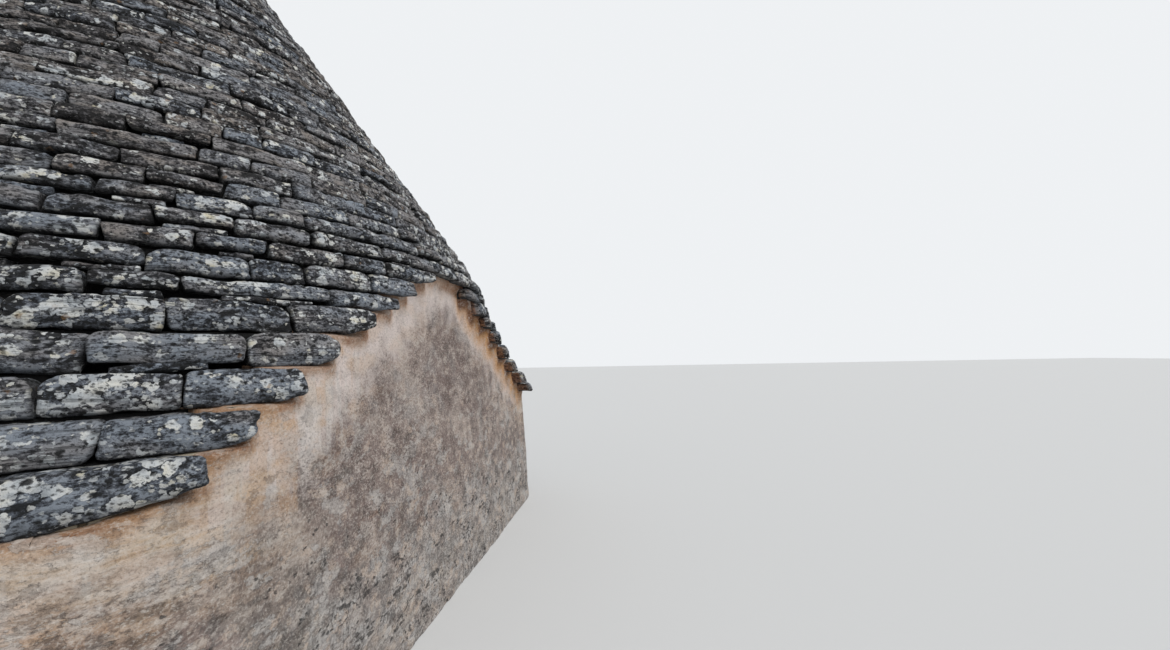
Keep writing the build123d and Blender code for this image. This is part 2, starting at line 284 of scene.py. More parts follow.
def lay_stone(pile, start, end, low, high, foot_radius, top_radius, tips=(None, None), lichen=0.5,
              brown=0.0, pale=0.5, joint=0.008, sag=0.0, ledge=0.0, jut=0.0, depth=STONE_DEPTH):
    """A stone of the roof between two angles and two heights. Each of the tips is the direction that a
    wall faces where that end of the stone lies on the wall's arch. The stone's top lies open as far in
    as ledge."""
    draw = pile.random.uniform
    middle = (start + end) / 2
    out, along = unit(middle), unit(middle + math.pi / 2)
    half_length = foot_radius * (end - start) / 2 - HEAD_JOINT / 2 - draw(0, 0.004)
    half_height = (high - low) / 2
    centre = Vector(out * foot_radius) + Vector((0, 0, (low + high) / 2))
    far = (centre - EYE).length
    cell = FINE_CELL + CELL_GROWTH * max(0.0, far - FINE_REACH) ** 1.2
    long_cells = max(6, round(2 * half_length / cell))
    high_cells = max(4, round(2 * half_height / cell))
    depths = [0.015, 0.05, 0.11, depth] if far < CLOSE else [0.06, depth]
    across, up, layer, faces, back = block_grid(long_cells, high_cells, len(depths))
    tip_share, tip_faces = np.zeros(len(across)), np.zeros((len(across), 3))
    for tip, way in zip(tips, (-1, 1)):
        if tip is not None:
            tip_share = np.maximum(tip_share, smooth(across * way, 0.1, 1.0))
            tip_faces += np.outer(across * way > 0, unit(tip))

    # Its outline, with corners, head joints and beds out of true
    flatter = smooth(low, ARCH_TOP, ARCH_TOP + 0.5)
    corner = draw(0.3, (0.72, 0.95, 0.72, 0.95))[(across > 0) * 2 + (up > 0)] ** 1.8 * half_height
    corner = corner * (1 - 0.40 * flatter) + tip_share * 0.12 * half_height
    x, y = round_corners(across, up, half_length, half_height, np.minimum(corner, 0.9 * half_height))
    upper, lower = (1 + up) / 2, (1 - up) / 2
    x = x + (draw(-0.16, 0.16) * (1 + across) + draw(-0.16, 0.16) * (1 - across)) / 2 * y
    bow = draw(0.0, 0.12) * across**2
    y = y - upper * half_height * (draw(-0.02, 0.05) + draw(-0.07, 0.07) * across + bow)
    y = y + lower * (joint * draw(0.7, 1.3) + half_height * draw(-0.07, 0.07) * across)
    y = y + tip_share**2 * lower * draw(0.10, 0.50) * (far < CLOSE) * half_height
    y = y - sag * lower * corner_sag(middle + x / foot_radius)

    # Its face: rounded over at the edge, bulging, leaning back and a little askew
    round_over = min(0.35 * half_height, draw(0.009, 0.018) * (1 - 0.45 * flatter)) + 0.004 * tip_share
    turned, set_back = rounded_edge(across, up, half_length, half_height, round_over)
    bulge = draw(0.004, 0.018) * (1 - across**2) * (1 - up**2)
    lean = (foot_radius - top_radius) * upper
    twist = draw(-0.035, 0.035) * x + draw(-0.10, 0.10) * y
    proud = draw(-0.014, 0.014) - half_length**2 / (3 * foot_radius) + jut
    face = foot_radius + proud + bulge + twist - lean - set_back
    into = np.array([0.0] + depths)[layer]
    inward = -np.outer(1 - tip_share, out) - tip_share[:, None] * tip_faces
    inward /= np.linalg.norm(inward, axis=1)[:, None]
    narrow = 1 - into / foot_radius * (1 - tip_share)
    base = (np.outer(face, out) + np.outer(x * narrow, along) + into[:, None] * inward
            + np.outer((low + high) / 2 + y * (1 - 0.12 * into / depth), UP))

    # What its material reads: tone, lichen, brown, and the light left by painted shade in its joints, at its
    # rounded edges and low on its face, partly dirt at the lower edge
    place = np.stack([x, y, -into], -1) + draw(-40, 40, 3)
    tone = pile.random.normal(pale, 0.15)
    # Painted shade: darker deep in the joints and at the rounded edges, most at the lower edge, which is
    # partly dirt
    hidden = np.maximum(into - np.where(up > 0.999, ledge, 0.0), 0)
    light_left_by_shade_and_dirt = np.exp(-hidden / JOINT_LIGHT) * (1 - np.where(up > 0.5, 0.15, 0.50) * turned**2)
    open_end = tip_share * (np.abs(across) > 0.999)
    stained = open_end * smooth(into, -0.01, 0.03)
    # Painted shade low on the front face, as under a face that curves under
    light_left_by_shade_and_dirt = light_left_by_shade_and_dirt * (1 - UNDERSIDE_SHADE * smooth(-up, 0.45 * flatter, 1.0) * (layer == 0))
    # The open ends at the arch keep their full light, with no painted shade
    light_left_by_shade_and_dirt = light_left_by_shade_and_dirt + (1 - light_left_by_shade_and_dirt) * open_end
    look = np.stack([np.full(len(x), tone), lichen * draw(0.45, 1.45) * (1 - stained),
                     np.minimum(brown * draw(0.3, 1.6), 1.0) + 1.5 * stained, light_left_by_shade_and_dirt], -1)
    pile.add(faces, back, base=base, along=along, out=out, side=way_sideways(across, up, along, 0.999),
             place=place, front=np.where(layer > 0, 0.0, 1 - 0.6 * turned)[:, None], look=look)


def roof_radius(z):
    """Radius of the roof's outer edge at a height."""
    down = ARCH_TOP - z
    slope, bend = (EAVES_SLOPE, EAVES_BEND) if down > 0 else (CONE_SLOPE, CONE_BEND)
    return HALF_EAVES + slope * down + down**2 / bend


def stack_beds():
    """Heights of all the beds, from under the lowest course to the capstone."""
    beds = [EAVES_HEIGHT]
    for height in EAVES_COURSES:
        beds.append(beds[-1] + height)
    while beds[-1] < CONE_TOP - 0.5 * TOP_COURSE:
        share = roof_radius(beds[-1]) / HALF_EAVES
        beds.append(beds[-1] + TOP_COURSE + share * (FOOT_COURSE - TOP_COURSE))
    return beds


BEDS = stack_beds()


def usual_length(course):
    """How long the stones of a course mostly are."""
    share = min(1.0, course / CORNER_COURSES)
    return LOW_STONE + (HIGH_STONE - LOW_STONE) * share - SHORTER_BY_COURSE * max(0, course - CORNER_COURSES)


def fill_joints(start, end, radius, length, rand):
    """Angles that part the run from start to end into stones of about one length, none very short."""
    run = (end - start) * radius
    count = max(1, round(run / length))
    cuts = np.cumsum(rand.uniform(0.60, 1.45, count))
    return [start + (end - start) * cut for cut in cuts[:-1] / cuts[-1]]


def course_joints(course, start, end, rand):
    """The head joints between two angles: the seen ones where they were seen, others elsewhere."""
    radius, length = roof_radius(BEDS[course]), usual_length(course)
    seen = [math.radians(angle) for angle in SEEN_JOINTS.get(course, ())]
    seen = [angle for angle in seen if start < angle < end]
    if not seen:
        return fill_joints(start, end, radius, length, rand)
    before = fill_joints(start, seen[0], radius, length, rand)
    return before + seen + fill_joints(seen[-1], end, radius, length, rand)


def lay_filling(pile, low, high, radius, start, end):
    """The small stones and earth close behind a course's stones, as one bent block."""
    cells = max(2, round((end - start) / 0.05))
    across, up, layer, faces, back = block_grid(cells, 2, 1)
    angle = start + (end - start) * (across + 1) / 2
    reach = radius - np.where(layer > 0, FILLING_DEPTH, 0.0)
    plan = np.stack([np.cos(angle), np.sin(angle)], -1) * reach[:, None]
    if high < ARCH_TOP + 0.001:
        plan = np.clip(plan, 0.10 - HALF_EAVES, HALF_EAVES - 0.10)
    height = (low + high) / 2 + up * (high - low) / 2
    # The last number of its look, 0, paints it dark as in full shade deep in the joints
    pile.add(faces, back, base=np.concatenate([plan, height[:, None]], -1), along=NOTHING, out=NOTHING,
             side=NOTHING, place=np.stack([angle * radius, height, reach], -1), front=(0.0,),
             look=(0.1, 0.0, 1.0, 0.0))


def lay_course(pile, course, start, end, tips=(None, None)):
    """One course of stones between two angles, with a few thin stones wedged under them."""
    low, high = BEDS[course], BEDS[course + 1]
    foot, above = roof_radius(low), roof_radius(high)
    top = foot - FACE_LEAN * (foot - above)
    rand = pile.random
    ends = [start] + course_joints(course, start, end, rand) + [end]
    pale = PALE if course < PALE_COURSES else LESS_PALE
    if course < len(SEEN_PALENESS):
        pale = SEEN_PALENESS[course]
    lay_filling(pile, low, high, min(foot - FILLING_SET_BACK, above - 0.03), start, end)
    for number, (a, b) in enumerate(zip(ends, ends[1:])):
        first, last = number == 0, number == len(ends) - 2
        wave = 0.005 * lattice_noise(np.array([[(a + b) * 2.2, course * 7.3, 0.5]]), 71)[0]
        raised = rand.uniform(0.016, 0.026) if rand.random() < WEDGED_SHARE and 0 < course else 0.0
        lay_stone(pile, a, b, low + wave + raised, high + wave, foot, top,
                  tips=(tips[0] if first else None, tips[1] if last else None),
                  lichen=(0.95 if course else 0.72) - 0.52 * min(1, course / 12),
                  brown=0.10 + 0.60 * min(1, course / 14), pale=pale,
                  joint=LOW_BED_JOINT + (HIGH_BED_JOINT - LOW_BED_JOINT) * smooth(course, 2, 8),
                  sag=LOWEST_STONES_SAG if course == 0 else 0.0,
                  ledge=(1 - FACE_LEAN) * (foot - above) + 0.01,
                  jut=-NORTH_SET_IN if first and tips[0] == 0 else 0.0)
        if raised:
            middle, reach = a + (b - a) * rand.uniform(0.3, 0.7), rand.uniform(0.25, 0.45) * (b - a)
            lay_stone(pile, middle - reach, middle + reach, low + wave - 0.003, low + wave + raised + 0.006,
                      foot - 0.012, foot - 0.012, brown=0.4, joint=0.002, depth=WEDGE_DEPTH)


def lay_corner(name, quarter, material):
    """The courses on one corner. Quarter 0 is between the +X and +Y walls."""
    pile = StonePile(seed=100 + quarter)
    corner_start, corner_end = quarter * math.pi / 2, (quarter + 1) * math.pi / 2
    for course in range(CORNER_COURSES):
        radius = roof_radius(BEDS[course])
        edge = math.acos(HALF_EAVES / radius)
        first = edge if quarter else math.asin((arch_half_width(course) - NORTH_REACH) / radius)
        lay_course(pile, course, corner_start + first, corner_end - edge, tips=(corner_start, corner_end))
    pile.piece(pile.points(), name + "_stones", material, "roof_stone", [name])


def lay_cone_band(number, material):
    """Five courses of the round roof."""
    pile = StonePile(seed=200 + number)
    first = CORNER_COURSES + (number - 1) * COURSES_IN_BAND
    for course in range(first, first + COURSES_IN_BAND):
        start = math.radians(-190) + pile.random.uniform(0, 0.15)
        lay_course(pile, course, start, start + 2 * math.pi)
    pile.piece(pile.points(), f"cone_stones_{number}", material, "roof_stone", [f"cone_courses_{number}"])


# Plaster

def arch_half_width(course):
    """Where a corner course ends on a wall, from the wall's middle."""
    return math.sqrt(roof_radius(BEDS[course]) ** 2 - HALF_EAVES**2)


def arch_steps():
    """The stepped edge of the roof on a wall, as level and upright lines: y0, z0, y1, z1."""
    lines, outer = [], HALF_HOUSE
    for course in range(CORNER_COURSES):
        inner = arch_half_width(course)
        lines.append((inner, BEDS[course], outer, BEDS[course]))
        lines.append((inner, BEDS[course], inner, BEDS[course + 1]))
        outer = inner
    lines.append((0.0, ARCH_TOP, outer, ARCH_TOP))
    return lines


ARCH_STEPS = arch_steps()


def roof_distance(y, z):
    """How far a point of a wall is from the roof's stepped edge, negative behind the stones, and how
    far from the roof's axis the stones' faces are at that height."""
    y = np.abs(y)
    nearest, reach, stones_face = np.full((3, *y.shape), 10.0)
    for y0, z0, y1, z1 in ARCH_STEPS:
        away = np.hypot(y - np.clip(y, y0, y1), z - np.clip(z, z0, z1))
        nearest = np.minimum(nearest, away)
    for course in range(CORNER_COURSES):
        foot, top = roof_radius(BEDS[course]), roof_radius(BEDS[course + 1])
        reach = np.where(z >= BEDS[course], arch_half_width(course), reach)
        stones_face = np.where(z >= BEDS[course], foot - FACE_LEAN * (foot - top), stones_face)
    reach = np.where(z >= ARCH_TOP, 0.0, reach)
    stones_face = np.where(z >= ARCH_TOP, roof_radius(ARCH_TOP + 0.05), stones_face)
    return np.where(y < reach, nearest, -nearest), stones_face


def wall_path(run):
    """The point and direction of the wall's outline at a distance from the wall's middle, for the
    +X wall: the centre that the outline turns round, and the way that the wall faces."""
    straight = HALF_HOUSE - CORNER_RADIUS
    beyond = np.sign(run) * np.maximum(np.abs(run) - straight, 0)
    angle = beyond / CORNER_RADIUS
    centre = np.stack([np.full(run.shape, straight), np.clip(run, -straight, straight)], -1)
    return centre, np.stack([np.cos(angle), np.sin(angle)], -1)


def run_lines(near, far, start, end):
    """Positions from start to end whose spacing grows from near to far."""
    lines = [start]
    while lines[-1] < end:
        share = (lines[-1] - start) / (end - start)
        lines.append(lines[-1] + near + (far - near) * share)
    lines = np.array(lines)
    return start + (lines - start) * (end - start) / (lines[-1] - start)


def plaster_surface(run, z, turn):
    """The outer face of the plaster on the wall that faces the direction turn, how far each point is
    from the roof's edge, and where the coat has flaked."""
    centre, facing = wall_path(run)
    radius = CORNER_RADIUS - BATTER * z
    flat = centre + facing * radius[..., None]
    turned = np.array([[math.cos(turn), math.sin(turn)], [-math.sin(turn), math.cos(turn)]])
    world = np.concatenate([flat @ turned, z[..., None]], -1).reshape(-1, 3)
    sag = LOWEST_STONES_SAG * corner_sag(np.arctan2(flat[..., 1], flat[..., 0]))
    across = flat[..., 1] + (NORTH_REACH * smooth(flat[..., 1], 0.0, 0.3) if turn == 0 else 0.0)
    gap, stones_face = roof_distance(across, z + sag)
    overhang = HALF_EAVES - (HALF_HOUSE - BATTER * z)
    cove = 0.20 * np.maximum(overhang, 0) * (1 - smooth(gap, 0.0, 0.07)) ** 1.4
    cove = np.where(np.abs(flat[..., 1]) < arch_half_width(0) + 0.10, cove, 0.0)
    lumps = (0.009 * rough_noise(world, 0.75, 2, 81) + 0.0035 * rough_noise(world, 0.17, 2, 82)
             + 0.0016 * rough_noise(world, 0.055, 2, 83)).reshape(z.shape)
    worn = rough_noise(world, 0.16, 3, 84).reshape(z.shape) + 0.9 * (1 - smooth(z, 0.12, 0.62))
    flaked = smooth(worn, 0.95, 1.08)
    over_footing = 0.006 - 0.040 * smooth(z, 0.06, 0.22)
    out = np.maximum(COAT_PROUD + cove + lumps - FLAKE_DEPTH * flaked, over_footing)
    axis_distance = np.linalg.norm(flat + facing * out[..., None], axis=-1)
    too_far = np.maximum(axis_distance - (stones_face - 0.040), 0)
    out = out - 1.15 * too_far * (1 - smooth(gap, -0.012, 0.004))
    flat = flat + facing * out[..., None]
    return np.concatenate([flat @ turned, z[..., None]], -1), gap, flaked


def spread_plaster(name, turn, spacing, material):
    """The lime coat on one wall: a thin shell that ends behind the roof's stones, and at the doorway."""
    end = HALF_HOUSE - CORNER_RADIUS + CORNER_RADIUS * math.pi / 4
    columns = run_lines(*spacing, -end, end)
    rows = run_lines(spacing[0], spacing[0], 0.0, ARCH_TOP + 0.02)
    step = columns[1] - columns[0]
    columns = np.concatenate([[-end - step], columns, [end + step]])
    rows = np.concatenate([rows, [rows[-1] + spacing[0]]])
    doorway = name == "south_plaster"
    if doorway:
        for edge in (DOOR_HALF + JAMB_WIDTH, LINTEL_HALF):
            for line in (-edge, edge):
                columns[np.argmin(np.abs(columns - line))] = line
        rows[np.argmin(np.abs(rows - DOOR_TOP))] = DOOR_TOP
    run, z = np.meshgrid(columns, rows)
    points, gap, flaked = plaster_surface(run, z, turn)
    normals = np.cross(np.gradient(points, axis=1), np.gradient(points, axis=0))
    normals /= np.linalg.norm(normals, axis=-1)[..., None]

    # The cells of the grid that are wanted, and their vertices
    ids = np.arange(run.size).reshape(run.shape)
    cells = grid_quads(ids)
    kept = (gap.ravel() > -TUCKED_UNDER)[cells].all(-1)
    kept[:, [0, -1]] = False
    kept[-1, :] = False
    if doorway:
        mid_run = (run[:-1, :-1] + run[1:, 1:]) / 2
        mid_z = (z[:-1, :-1] + z[1:, 1:]) / 2
        kept &= ~((np.abs(mid_run) < DOOR_HALF + JAMB_WIDTH) & (mid_z < DOOR_TOP))
    used, cells = np.unique(cells[kept], return_inverse=True)
    cells = cells.reshape(-1, 4)
    front, normal = points.reshape(-1, 3)[used], normals.reshape(-1, 3)[used]

    # A back behind them, and sides along the edges that only one cell has
    shell = np.concatenate([front, front - COAT_THICKNESS * normal])
    shell[:, 2] = np.maximum(shell[:, 2], 0.0)
    count = len(used)
    edges = np.concatenate([cells[:, [i, (i + 1) % 4]] for i in range(4)])
    keys = edges.min(1) * count + edges.max(1)
    _, first, counts = np.unique(keys, return_index=True, return_counts=True)
    rim = edges[first[counts == 1]]
    sides = np.stack([rim[:, 0], rim[:, 0] + count, rim[:, 1] + count, rim[:, 1]], -1)
    faces = np.concatenate([cells, cells[:, ::-1] + count, sides])
    rusty_side = (run > 0) & (turn == 0)
    look = np.stack([gap, flaked, np.abs(run), rusty_side], -1).reshape(-1, 4)[used]
    piece = add_piece(name + "_coat", shell, faces.tolist(), material, "lime_plaster", [name],
                      wall_place=np.tile(front[:, [0, 2, 1]], (2, 1)), wall_look=np.tile(look, (2, 1)))
    piece.data.normals_split_custom_set_from_vertices(np.concatenate([normal, -normal]).tolist())


# Dressed stones

def dress_block(pile, low, high, round_over):
    """A hewn block that fills a box, with its front to the south."""
    rand = pile.random
    low, high = np.array(low, float), np.array(high, float)
    half_length, half_depth, half_height = (high - low) / 2
    out, along = np.array([0, -1.0, 0]), np.array([1.0, 0, 0])
    across, up, layer, faces, back = block_grid(max(6, round(2 * half_length / 0.03)),
                                                max(4, round(2 * half_height / 0.03)), 4)
    x, y = round_corners(across, up, half_length, half_height, round_over)
    _, set_back = rounded_edge(across, up, half_length, half_height, round_over)
    into = np.array([0.0, 0.05, 0.5, 0.95, 1.0])[layer] * 2 * half_depth
    base = ((low + high) / 2 + np.outer(half_depth - set_back * (layer == 0) - into, out)
            + np.outer(x, along) + np.outer(y, UP))
    place = np.stack([x, y, -into], -1) + rand.uniform(-40, 40, 3)
    look = (rand.normal(0.5, 0.14), rand.uniform(0.2, 0.6), rand.uniform(0, 1), 1.0)
    pile.add(faces, back, base=base, along=along, out=out, side=way_sideways(across, up, along),
             place=place, front=np.where(layer > 0, 0.0, 1.0)[:, None], look=look)


def dress_node(name, node, seed, material, boxes, round_over=0.012):
    """Hewn blocks in place of a CAD node. Their faces lean with the wall."""
    pile = StonePile(seed)
    for low, high in boxes:
        dress_block(pile, low, high, round_over)
    points = pile.points(BLOCK_WEAR)
    points[:, 1] += BATTER * points[:, 2] * (points[:, 1] < -HALF_HOUSE + SURROUND_DEPTH / 2)
    pile.piece(points, name, material, "dressed_stone", [node])


def build_doorway(material):
    """Jambs of stacked blocks, the two lintels and the threshold."""
    front, back = -HALF_HOUSE, SURROUND_DEPTH - HALF_HOUSE
    beds = [0.0, 0.40, 0.84, 1.22, DOOR_HEIGHT]
    for side, sign in (("left", -1), ("right", 1)):
        inner, outer = sorted((sign * DOOR_HALF, sign * (DOOR_HALF + JAMB_WIDTH)))
        boxes = [((inner, front, low + 0.002), (outer, back, high - 0.002))
                 for low, high in zip(beds, beds[1:])]
        dress_node(f"jamb_{side}_blocks", f"door_jamb_{side}", 300 + sign, material, boxes)
    dress_node("lintel_slab", "door_lintel", 310, material,
               [((-LINTEL_HALF, front, DOOR_HEIGHT), (LINTEL_HALF, back, DOOR_TOP))])
    dress_node("inner_lintel_slab", "inner_lintel", 311, material,
               [((-LINTEL_HALF, back, DOOR_HEIGHT), (LINTEL_HALF, -ROOM_HALF, DOOR_TOP))])
    step_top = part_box("threshold")[1].z
    dress_node("threshold_slab", "threshold", 312, material,
               [((-DOOR_HALF, front, 0.0), (DOOR_HALF, -ROOM_HALF, step_top))], round_over=0.02)


def turned_stone(name, node, profile, sides, material, slot, seed, roughness):
    """A stone of round plan whose outline is a list of (radius, height), roughened."""
    angles = np.linspace(0, 2 * math.pi, sides, endpoint=False)
    rings = [np.stack([r * np.cos(angles), r * np.sin(angles), np.full(sides, z)], -1) for r, z in profile]
    points = np.concatenate(rings)
    ids = np.arange(len(points)).reshape(len(profile), sides)
    nxt = np.roll(ids, -1, axis=1)
    quads = np.stack([ids[:-1], nxt[:-1], nxt[1:], ids[1:]], -1).reshape(-1, 4).tolist()
    quads += [ids[0][::-1].tolist(), ids[-1].tolist()]
    out = points * (1, 1, 0)
    out /= np.maximum(np.linalg.norm(out, axis=1), 1e-6)[:, None]
    place = points + 30 * seed
    bump = roughness * (rough_noise(place, 0.22, 2, seed) + 0.5 * rough_noise(place, 0.05, 2, seed + 1))
    up = 0.25 * roughness * rough_noise(place, 0.09, 2, seed + 2)
    points = points + out * bump[:, None] + np.outer(up, UP)
    add_piece(name, points, quads, material, slot, [node], stone_place=place,
              stone_look=np.tile([0.55, 0.8, 0.5, 1.0], (len(points), 1)))


def build_top(roof_stone, dressed_stone):
    """The flat capstone and the plain hewn stone on it."""
    low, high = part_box("capstone")
    profile = [(high.x * share, low.z + rise * (high.z - low.z)) for share, rise in (
        (0.30, 0.0), (0.90, 0.0), (0.97, 0.08), (1.0, 0.3), (1.0, 0.7), (0.97, 0.92), (0.9, 1.0),
        (0.6, 1.03), (0.3, 1.04))]
    turned_stone("capstone_slab", "capstone", profile, 72, roof_stone, "roof_stone", 5, 0.010)
    low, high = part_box("pinnacle")
    foot, neck, head = 0.13, 0.075, 0.11
    neck_height, head_height = 0.17, 0.19
    profile = [(foot + (neck - foot) * share**0.8, low.z + neck_height * share)
               for share in np.linspace(0, 1, 9)]
    for turn in np.linspace(-0.75, 1.35, 14):
        rise = (math.sin(turn) + math.sin(0.75)) / (1 + math.sin(0.75))
        swell = (head - neck) * max(0.0, math.cos(turn) - 0.55) / 0.45
        profile.append((neck + swell - 0.6 * neck * max(0.0, turn - 1.1),
                        low.z + neck_height + 0.01 + head_height * rise * 0.96))
    turned_stone("pinnacle_stone", "pinnacle", profile, 48, dressed_stone, "dressed_stone", 6, 0.004)


# Materials

class Value:
    """A number in a node tree. Its sums, differences and products make the nodes that work them out."""

    def __init__(self, painter, socket):
        self.painter, self.socket = painter, socket

    def __add__(self, other):
        return self.painter.math("ADD", self, other)

    def __sub__(self, other):
        return self.painter.math("SUBTRACT", self, other)

    def __rsub__(self, other):
        return self.painter.math("SUBTRACT", other, self)

    def __mul__(self, other):
        return self.painter.math("MULTIPLY", self, other)

    __radd__, __rmul__ = __add__, __mul__


class Painter:
    """Builds the nodes of a material or sky. Its textures lie on the place that each vertex holds, and
    the colour is laid in coats, each over what is there."""

    def __init__(self, painted, place=None):
        self.painted = painted
        painted.use_nodes = True
        self.tree = painted.node_tree
        self.tree.nodes.clear()
        if place:
            self.place = self.node("Attribute", attribute_name=place).outputs["Vector"]

    def node(self, kind, inputs=None, **settings):
        """A shader node with its inputs set or linked."""
        made = self.tree.nodes.new("ShaderNode" + kind)
        for key, value in settings.items():
            setattr(made, key, value)
        for key, value in (inputs or {}).items():
            value = value.socket if isinstance(value, Value) else value
            if isinstance(value, bpy.types.NodeSocket):
                self.tree.links.new(value, made.inputs[key])
            else:
                made.inputs[key].default_value = value
        return made

    def value(self, kind, inputs, output, **settings):
        return Value(self, self.node(kind, inputs, **settings).outputs[output])

    def look(self, name):
        """The four numbers of a vertex colour."""
        source = self.node("Attribute", attribute_name=name)
        parts = self.node("SeparateColor", {"Color": source.outputs["Color"]})
        return [Value(self, socket) for socket in (*parts.outputs, source.outputs["Alpha"])]

    def stretched(self, size, at):
        """The place, moved by at, and scaled so that one unit is size metres: along a wall and up it, or
        along a stone, up it and into it."""
        sizes = size if isinstance(size, tuple) else (size, size)
        scale = [1 / side for side in (*sizes, sizes[0])[:3]]
        inputs = {"Vector": self.place, "Location": (*at, 0)[:3], "Scale": scale}
        return self.node("Mapping", inputs).outputs[0]

    def noise(self, size, at, detail=4, roughness=0.5):
        """Soft noise from 0 to 1, most of it near 0.5."""
        inputs = {"Vector": self.stretched(size, at), "Scale": 1.0, "Detail": detail, "Roughness": roughness}
        return self.value("TexNoise", inputs, "Fac")

    def spots(self, size, at, wobble):
        """Scattered points: how far the nearest one is, in sizes, and a number of its own."""
        place = self.stretched(size, at)
        bent = self.node("TexNoise", {"Vector": place, "Scale": 2.2, "Detail": 3.0})
        inputs = {0: bent.outputs["Color"], 1: (0.5,) * 3}
        away = self.node("VectorMath", inputs, operation="SUBTRACT")
        inputs = {0: away.outputs[0], 1: (wobble,) * 3, 2: place}
        moved = self.node("VectorMath", inputs, operation="MULTIPLY_ADD")
        inputs = {"Vector": moved.outputs[0], "Scale": 1.0, "Randomness": 1.0}
        found = self.node("TexVoronoi", inputs).outputs
        return Value(self, found["Distance"]), self.first(found["Color"])

    def first(self, colour):
        """The red share of a colour."""
        return self.value("SeparateColor", {"Color": colour}, 0)

    def patches(self, low, high, *noise):
        """1 in patches of noise, where it is beyond high."""
        return self.step(self.noise(*noise), low, high)

    def marks(self, size, at, wobble, near, chosen):
        """1 round those scattered points whose own number is chosen."""
        away, own = self.spots(size, at, wobble)
        return self.step(away, *near) * self.step(own, *chosen)

    def math(self, operation, a, b=0.0):
        return self.value("Math", {0: a, 1: b}, 0, operation=operation)

    def step(self, value, low, high):
        """0 at low and 1 at high, soft between. Low may be the larger."""
        return self.value("MapRange", {"Value": value, "From Min": low, "From Max": high}, "Result",
                          interpolation_type="SMOOTHSTEP")

    def mix(self, share, a, b, blend_type="MIX"):
        inputs = {0: share, 6: a, 7: b}
        return self.node("Mix", inputs, data_type="RGBA", blend_type=blend_type).outputs[2]

    def mix_value(self, share, a, b):
        return self.value("Mix", {0: share, 2: a, 3: b}, 0, data_type="FLOAT")

    def tint(self, share, red, green, blue):
        """Lays a screen colour over the colour so far."""
        self.colour = self.mix(share, self.colour, srgb(red, green, blue))

    def dim(self, share, amount):
        """Darkens the colour so far by amount where share is 1."""
        self.colour = self.mix(share, self.colour, (*(1 - amount,) * 3, 1), "MULTIPLY")

    def ramp(self, value, *stops):
        """Screen colours that follow a value."""
        made = self.node("ValToRGB", {"Fac": value})
        band = made.color_ramp
        while len(band.elements) < len(stops):
            band.elements.new(0.5)
        for element, (position, colour) in zip(band.elements, stops):
            element.position, element.color = position, srgb(*colour)
        return made.outputs["Color"]

    def finish(self, kind, shader):
        """Leads a shader to the end of the nodes."""
        self.node(kind, {"Surface": shader.outputs[0]})
        return self.painted

    def surface(self, roughness, relief, depth):
        """Ends the material, with its relief as a bump of that depth in metres."""
        bump = self.node("Bump", {"Height": relief, "Distance": depth, "Strength": 1.0})
        shader = self.node("BsdfPrincipled", {
            "Base Color": self.colour, "Roughness": roughness, "Normal": bump.outputs["Normal"]})
        shader.inputs["IOR"].default_value = 1.45
        return self.finish("OutputMaterial", shader)


